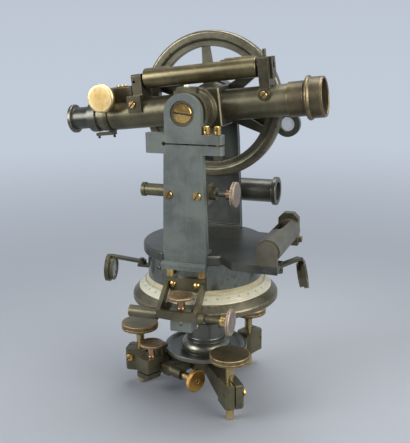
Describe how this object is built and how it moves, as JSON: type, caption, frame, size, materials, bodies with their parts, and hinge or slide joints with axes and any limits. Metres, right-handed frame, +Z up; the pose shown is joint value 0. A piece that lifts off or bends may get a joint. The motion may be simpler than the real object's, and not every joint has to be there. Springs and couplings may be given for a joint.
{
  "type": "transit_theodolite",
  "caption": "Transit theodolite with spirit levels, open vertical circle, clamps and tangent screws on a three-screw tribrach",
  "frame": {"origin": "mouth of the threaded centre hole, on the vertical axis, under the tribrach; the foot points stand 20 mm below it", "axes": "+Z up along the vertical axis, +X where the objective points, +Y away from the front standard along the trunnion axis"},
  "size_m": [0.2507, 0.1702, 0.3499],
  "materials": {
    "bronze": "dark olive bronze lacquer, worn at the edges",
    "grey_paint": "grey green enamel, semi-matt",
    "blue_steel": "blue grey metal, satin",
    "blackened": "blackened steel, satin",
    "brass": "bare brass, polished by handling",
    "bright_brass": "bright polished brass",
    "copper_brown": "brown toned brass with bare edges",
    "silvered": "silvered band, brushed",
    "gold_silver": "silvered brass, yellowed",
    "lens": "clear glass",
    "vial": "glass vial with spirit"
  },
  "bodies": {
    "tribrach": {"tribrach": "bronze", "block_pinch_screws": "brass", "lower_clamp_block": "bronze", "lower_tangent_bracket": "bronze"},
    "lower_clamp": {"lower_clamp_knob": "copper_brown"},
    "lower_tangent": {"lower_tangent_screw": "brass"},
    "circle": {"circle_sleeve": "blackened", "circle_plate": "bronze", "circle_scale": "silvered"},
    "alidade": {"vernier_ring": "gold_silver", "alidade_spindle": "blackened", "alidade_drum": "blue_steel", "alidade_plate": "blackened", "front_standard": "grey_paint", "far_standard": "grey_paint", "alidade_screws": "brass", "vernier_arm": "bronze", "vertical_verniers": "silvered", "clamp_arm": "bronze", "vertical_tangent_bracket": "bronze", "plate_level_case": "bronze", "plate_level_vial": "vial", "plate_level_post": "bronze", "tube_compass": "blackened", "alidade_tangent_frame": "bronze", "circle_clamp_jaw": "bronze", "loupe_pivots": "blackened"},
    "circle_clamp": {"circle_clamp_knob": "copper_brown"},
    "circle_tangent": {"circle_tangent_screw": "bronze"},
    "vertical_tangent": {"vertical_tangent_screw": "copper_brown"},
    "right_loupe": {"right_loupe": "blackened", "right_loupe_lens": "lens"},
    "left_loupe": {"left_loupe": "blackened", "left_loupe_lens": "lens"},
    "right_reader": {"right_reader": "blackened", "right_reader_lens": "lens"},
    "left_reader": {"left_reader": "blackened", "left_reader_lens": "lens"},
    "telescope": {"telescope_tube": "bronze", "trunnion_axle": "bronze", "objective_cell": "bronze", "objective_lens": "lens", "rack_housing": "blackened", "reticle_band": "bronze", "level_brackets": "bronze", "telescope_screws": "brass", "telescope_level": "bronze", "telescope_vial": "vial", "vertical_circle": "bronze", "vertical_scale": "silvered"},
    "focus": {"focus_knob": "bright_brass"},
    "draw": {"draw_tube": "blackened"},
    "eyepiece": {"eyepiece": "blackened", "eye_lens": "lens"},
    "level_stem_a": {"foot_stem_a": "brass"},
    "level_head_a": {"foot_head_a": "copper_brown"},
    "level_stem_b": {"foot_stem_b": "brass"},
    "level_head_b": {"foot_head_b": "copper_brown"},
    "level_stem_c": {"foot_stem_c": "brass"},
    "level_head_c": {"foot_head_c": "copper_brown"}
  },
  "joints": [
    {"name": "level_travel_a", "type": "slide", "parent": "tribrach", "child": "level_stem_a", "axis": [0, 0, 1], "range_m": [-0.004, 0.004]},
    {"name": "level_turn_a", "type": "hinge", "parent": "level_stem_a", "child": "level_head_a", "pos_m": [-0.06721, -0.00968, 0.04], "axis": [0, 0, 1], "range_deg": [-1800, 1800]},
    {"name": "level_travel_b", "type": "slide", "parent": "tribrach", "child": "level_stem_b", "axis": [0, 0, 1], "range_m": [-0.004, 0.004]},
    {"name": "level_turn_b", "type": "hinge", "parent": "level_stem_b", "child": "level_head_b", "pos_m": [0.04199, -0.05336, 0.04], "axis": [0, 0, 1], "range_deg": [-1800, 1800]},
    {"name": "level_travel_c", "type": "slide", "parent": "tribrach", "child": "level_stem_c", "axis": [0, 0, 1], "range_m": [-0.004, 0.004]},
    {"name": "level_turn_c", "type": "hinge", "parent": "level_stem_c", "child": "level_head_c", "pos_m": [0.02522, 0.06304, 0.04], "axis": [0, 0, 1], "range_deg": [-1800, 1800]},
    {"name": "circle_turn", "type": "hinge", "parent": "tribrach", "child": "circle", "pos_m": [0, 0, 0.05], "axis": [0, 0, 1], "continuous": true},
    {"name": "alidade_turn", "type": "hinge", "parent": "circle", "child": "alidade", "pos_m": [0, 0, 0.1], "axis": [0, 0, 1], "continuous": true},
    {"name": "telescope_tilt", "type": "hinge", "parent": "alidade", "child": "telescope", "pos_m": [0, 0, 0.2614], "axis": [0, -1, 0], "range_deg": [-215, 50]},
    {"name": "focus_turn", "type": "hinge", "parent": "telescope", "child": "focus", "pos_m": [-0.09189, 0, 0.26958], "axis": [0, 1, 0], "range_deg": [-43, 215]},
    {"name": "draw_travel", "type": "slide", "parent": "telescope", "child": "draw", "axis": [-0.9943, 0, -0.1063], "range_m": [-0.003, 0.015]},
    {"name": "eyepiece_travel", "type": "slide", "parent": "draw", "child": "eyepiece", "axis": [-0.9943, 0, -0.1063], "range_m": [-0.003, 0.003]},
    {"name": "circle_clamp_turn", "type": "hinge", "parent": "alidade", "child": "circle_clamp", "pos_m": [0.00435, -0.07495, 0.1], "axis": [0, 0, 1], "range_deg": [0, 270]},
    {"name": "circle_tangent_turn", "type": "hinge", "parent": "alidade", "child": "circle_tangent", "pos_m": [0.03104, -0.07457, 0.0858], "axis": [0.9999, 0.014, 0], "range_deg": [-1080, 1080]},
    {"name": "lower_clamp_turn", "type": "hinge", "parent": "tribrach", "child": "lower_clamp", "pos_m": [-0.04599, -0.03019, 0.025], "axis": [0, 0, 1], "range_deg": [0, 270]},
    {"name": "lower_tangent_turn", "type": "hinge", "parent": "tribrach", "child": "lower_tangent", "pos_m": [-0.00335, -0.04109, 0.0095], "axis": [0.8988, -0.4384, 0], "range_deg": [-1080, 1080]},
    {"name": "vertical_tangent_turn", "type": "hinge", "parent": "alidade", "child": "vertical_tangent", "pos_m": [0.03, -0.038, 0.1902], "axis": [1, 0, 0], "range_deg": [-1080, 1080]},
    {"name": "right_loupe_swing", "type": "hinge", "parent": "alidade", "child": "right_loupe", "pos_m": [0.078, -0.021, 0.1228], "axis": [0, 0, 1], "range_deg": [-15, 15]},
    {"name": "left_loupe_swing", "type": "hinge", "parent": "alidade", "child": "left_loupe", "pos_m": [-0.06, -0.0145, 0.112], "axis": [0, 0, 1], "range_deg": [-15, 15]},
    {"name": "right_reader_swing", "type": "hinge", "parent": "alidade", "child": "right_reader", "pos_m": [0.05158, 0.058, 0.24543], "axis": [0, 1, 0], "range_deg": [-20, 20]},
    {"name": "left_reader_swing", "type": "hinge", "parent": "alidade", "child": "left_reader", "pos_m": [-0.05158, 0.058, 0.27737], "axis": [0, 1, 0], "range_deg": [-20, 20]}
  ],
  "couplings": [
    {"joint": "level_travel_a", "follows": "level_turn_a", "m_per_rad": 0.00012732},
    {"joint": "level_travel_b", "follows": "level_turn_b", "m_per_rad": 0.00012732},
    {"joint": "level_travel_c", "follows": "level_turn_c", "m_per_rad": 0.00012732},
    {"joint": "focus_turn", "follows": "draw_travel", "rad_per_m": 250}
  ]
}
